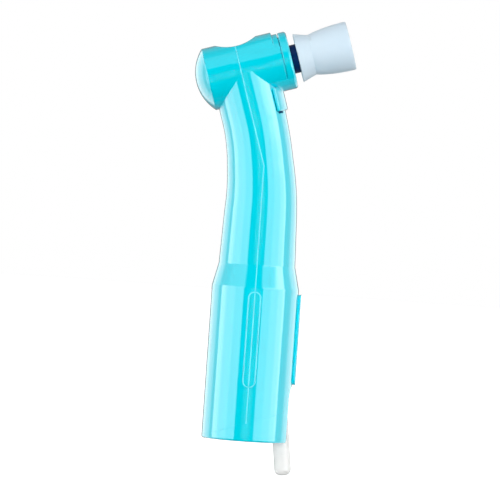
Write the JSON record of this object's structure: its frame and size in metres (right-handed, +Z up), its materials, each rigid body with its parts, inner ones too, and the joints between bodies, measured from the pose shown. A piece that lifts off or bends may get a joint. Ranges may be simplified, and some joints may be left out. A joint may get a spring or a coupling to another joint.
{
  "type": "disposable prophy angle",
  "caption": "Bent dental polishing angle: moulded body with a handpiece sleeve, a loose drive shaft, bevel gears in the head and a soft polishing cup.",
  "frame": {"origin": "centre of the handpiece sleeve's mouth, on the plane of its rim", "axes": "+Z up the sleeve's axis towards the head, +X towards the side the polishing cup faces, XZ is the object's middle plane"},
  "size_m": [0.0225, 0.013, 0.0639],
  "materials": {
    "body": "glossy pale cyan moulded plastic",
    "cap": "glossy cyan moulded plastic",
    "rotor": "dark navy moulded plastic",
    "cup": "satin pale blue-grey soft rubber",
    "shaft": "milky translucent white plastic",
    "natural": "natural white bearing plastic"
  },
  "bodies": {
    "handle": {"housing": "body", "head_cap": "cap", "thrust_washer": "natural", "front_bush": "natural", "rear_bush": "natural", "bush_retainer": "natural"},
    "swivel": {"swivel_bush": "natural"},
    "drive": {"lower_shaft": "shaft"},
    "pinion": {"upper_shaft": "natural", "shaft_clip": "natural"},
    "polisher": {"rotor": "rotor", "prophy_cup": "cup"}
  },
  "joints": [
    {"name": "shaft_tilt", "type": "hinge", "parent": "handle", "child": "swivel", "pos_m": [0, 0, 0.0384], "axis": [0, 1, 0], "range_deg": [0, 13]},
    {"name": "shaft_spin", "type": "hinge", "parent": "swivel", "child": "drive", "pos_m": [0, 0, 0.0384], "axis": [-0.1309, 0, 0.9914], "continuous": true},
    {"name": "upper_shaft_spin", "type": "hinge", "parent": "handle", "child": "pinion", "pos_m": [-0.0041, 0, 0.0514], "axis": [-0.3007, 0, 0.9537], "continuous": true},
    {"name": "cup_spin", "type": "hinge", "parent": "handle", "child": "polisher", "pos_m": [-0.0041, 0, 0.0514], "axis": [0.9537, 0, 0.3007], "continuous": true}
  ],
  "couplings": [
    {"joint": "upper_shaft_spin", "follows": "shaft_spin", "ratio": 1},
    {"joint": "cup_spin", "follows": "shaft_spin", "ratio": 1}
  ]
}
